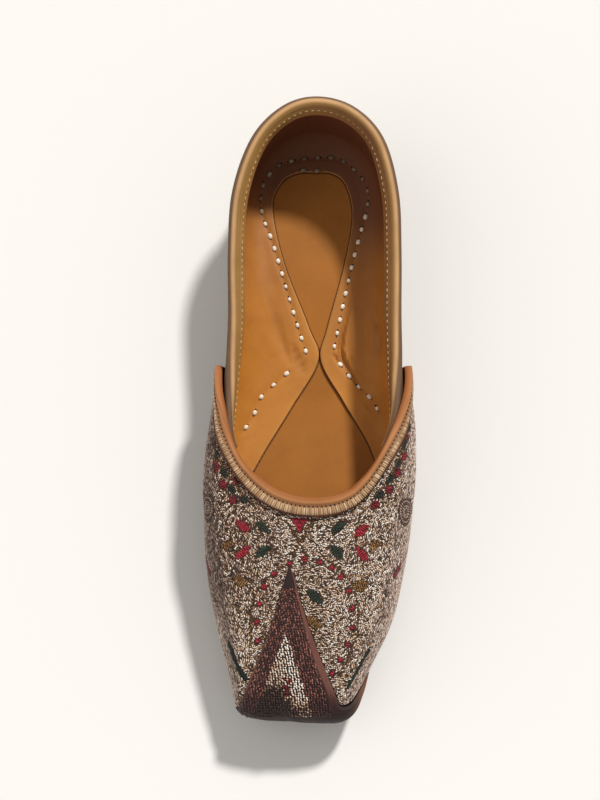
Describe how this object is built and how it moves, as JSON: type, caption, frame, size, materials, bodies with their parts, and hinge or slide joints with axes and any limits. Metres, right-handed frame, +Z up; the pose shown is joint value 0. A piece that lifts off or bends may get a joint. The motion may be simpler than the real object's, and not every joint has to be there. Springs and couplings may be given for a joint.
{
  "type": "mojari shoe",
  "caption": "Flat leather slip-on shoe whose squared toe folds back as a pointed tongue over a thread-embroidered vamp, with a bound collar and a thong-stitched lining",
  "frame": {"origin": "centre of the bounding box at floor level, under the middle of the sole", "axes": "+Y from the toe towards the heel, +Z up, +X towards the outer side of a left foot"},
  "size_m": [0.0882, 0.2575, 0.0577],
  "materials": {
    "sole_leather": "plain vegetable-tanned sole leather",
    "heel_leather": "plain stacked heel leather",
    "insole_leather": "smooth tan leather with a soft sheen",
    "lining_leather": "smooth tan leather with a soft sheen",
    "embroidered_leather": "leather covered with dense silver-gold thread stitches",
    "toe_leather": "dark brown leather with maroon thread stitches",
    "band_leather": "tan leather with a ribbed cord and a row of holes",
    "binding_leather": "folded tan leather with a running stitch"
  },
  "bodies": {
    "root": {"outsole": "sole_leather", "heel_lift": "heel_leather", "insole": "insole_leather", "upper": "lining_leather", "vamp": "embroidered_leather", "toe_curl": "toe_leather", "throat_band": "band_leather", "collar_binding": "binding_leather"}
  },
  "joints": []
}
